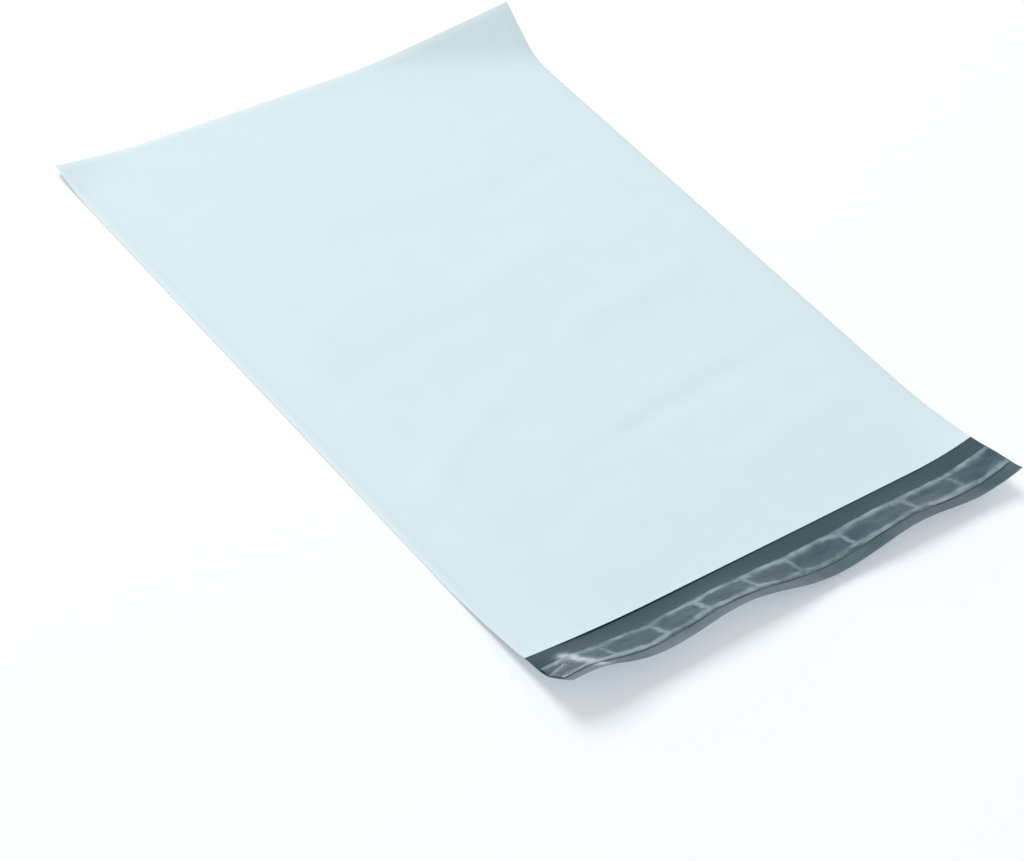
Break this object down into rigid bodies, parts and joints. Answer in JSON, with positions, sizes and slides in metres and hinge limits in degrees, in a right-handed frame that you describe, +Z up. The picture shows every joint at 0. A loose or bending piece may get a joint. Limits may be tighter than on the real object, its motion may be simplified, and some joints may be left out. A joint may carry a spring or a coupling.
{
  "type": "poly mailer bag",
  "caption": "Flat courier mailer bag of pale film with a dark inside, lying face up with its self-seal flap open and the release liner on.",
  "frame": {"origin": "centre of the bag's footprint, on the surface that it lies on", "axes": "+X across the bag, to the right with the flap nearest; +Y from the flap to the closed end; +Z up, out of the front panel"},
  "size_m": [0.3052, 0.4297, 0.0228],
  "materials": {
    "film": "soft sheen blown film, pale blue-white outside and dark grey inside",
    "adhesive": "clear tacky hot-melt over the dark film",
    "liner": "thin glossy see-through release film"
  },
  "bodies": {
    "root": {"film_bag": "film", "adhesive_strip": "adhesive", "release_liner": "liner"}
  },
  "joints": []
}
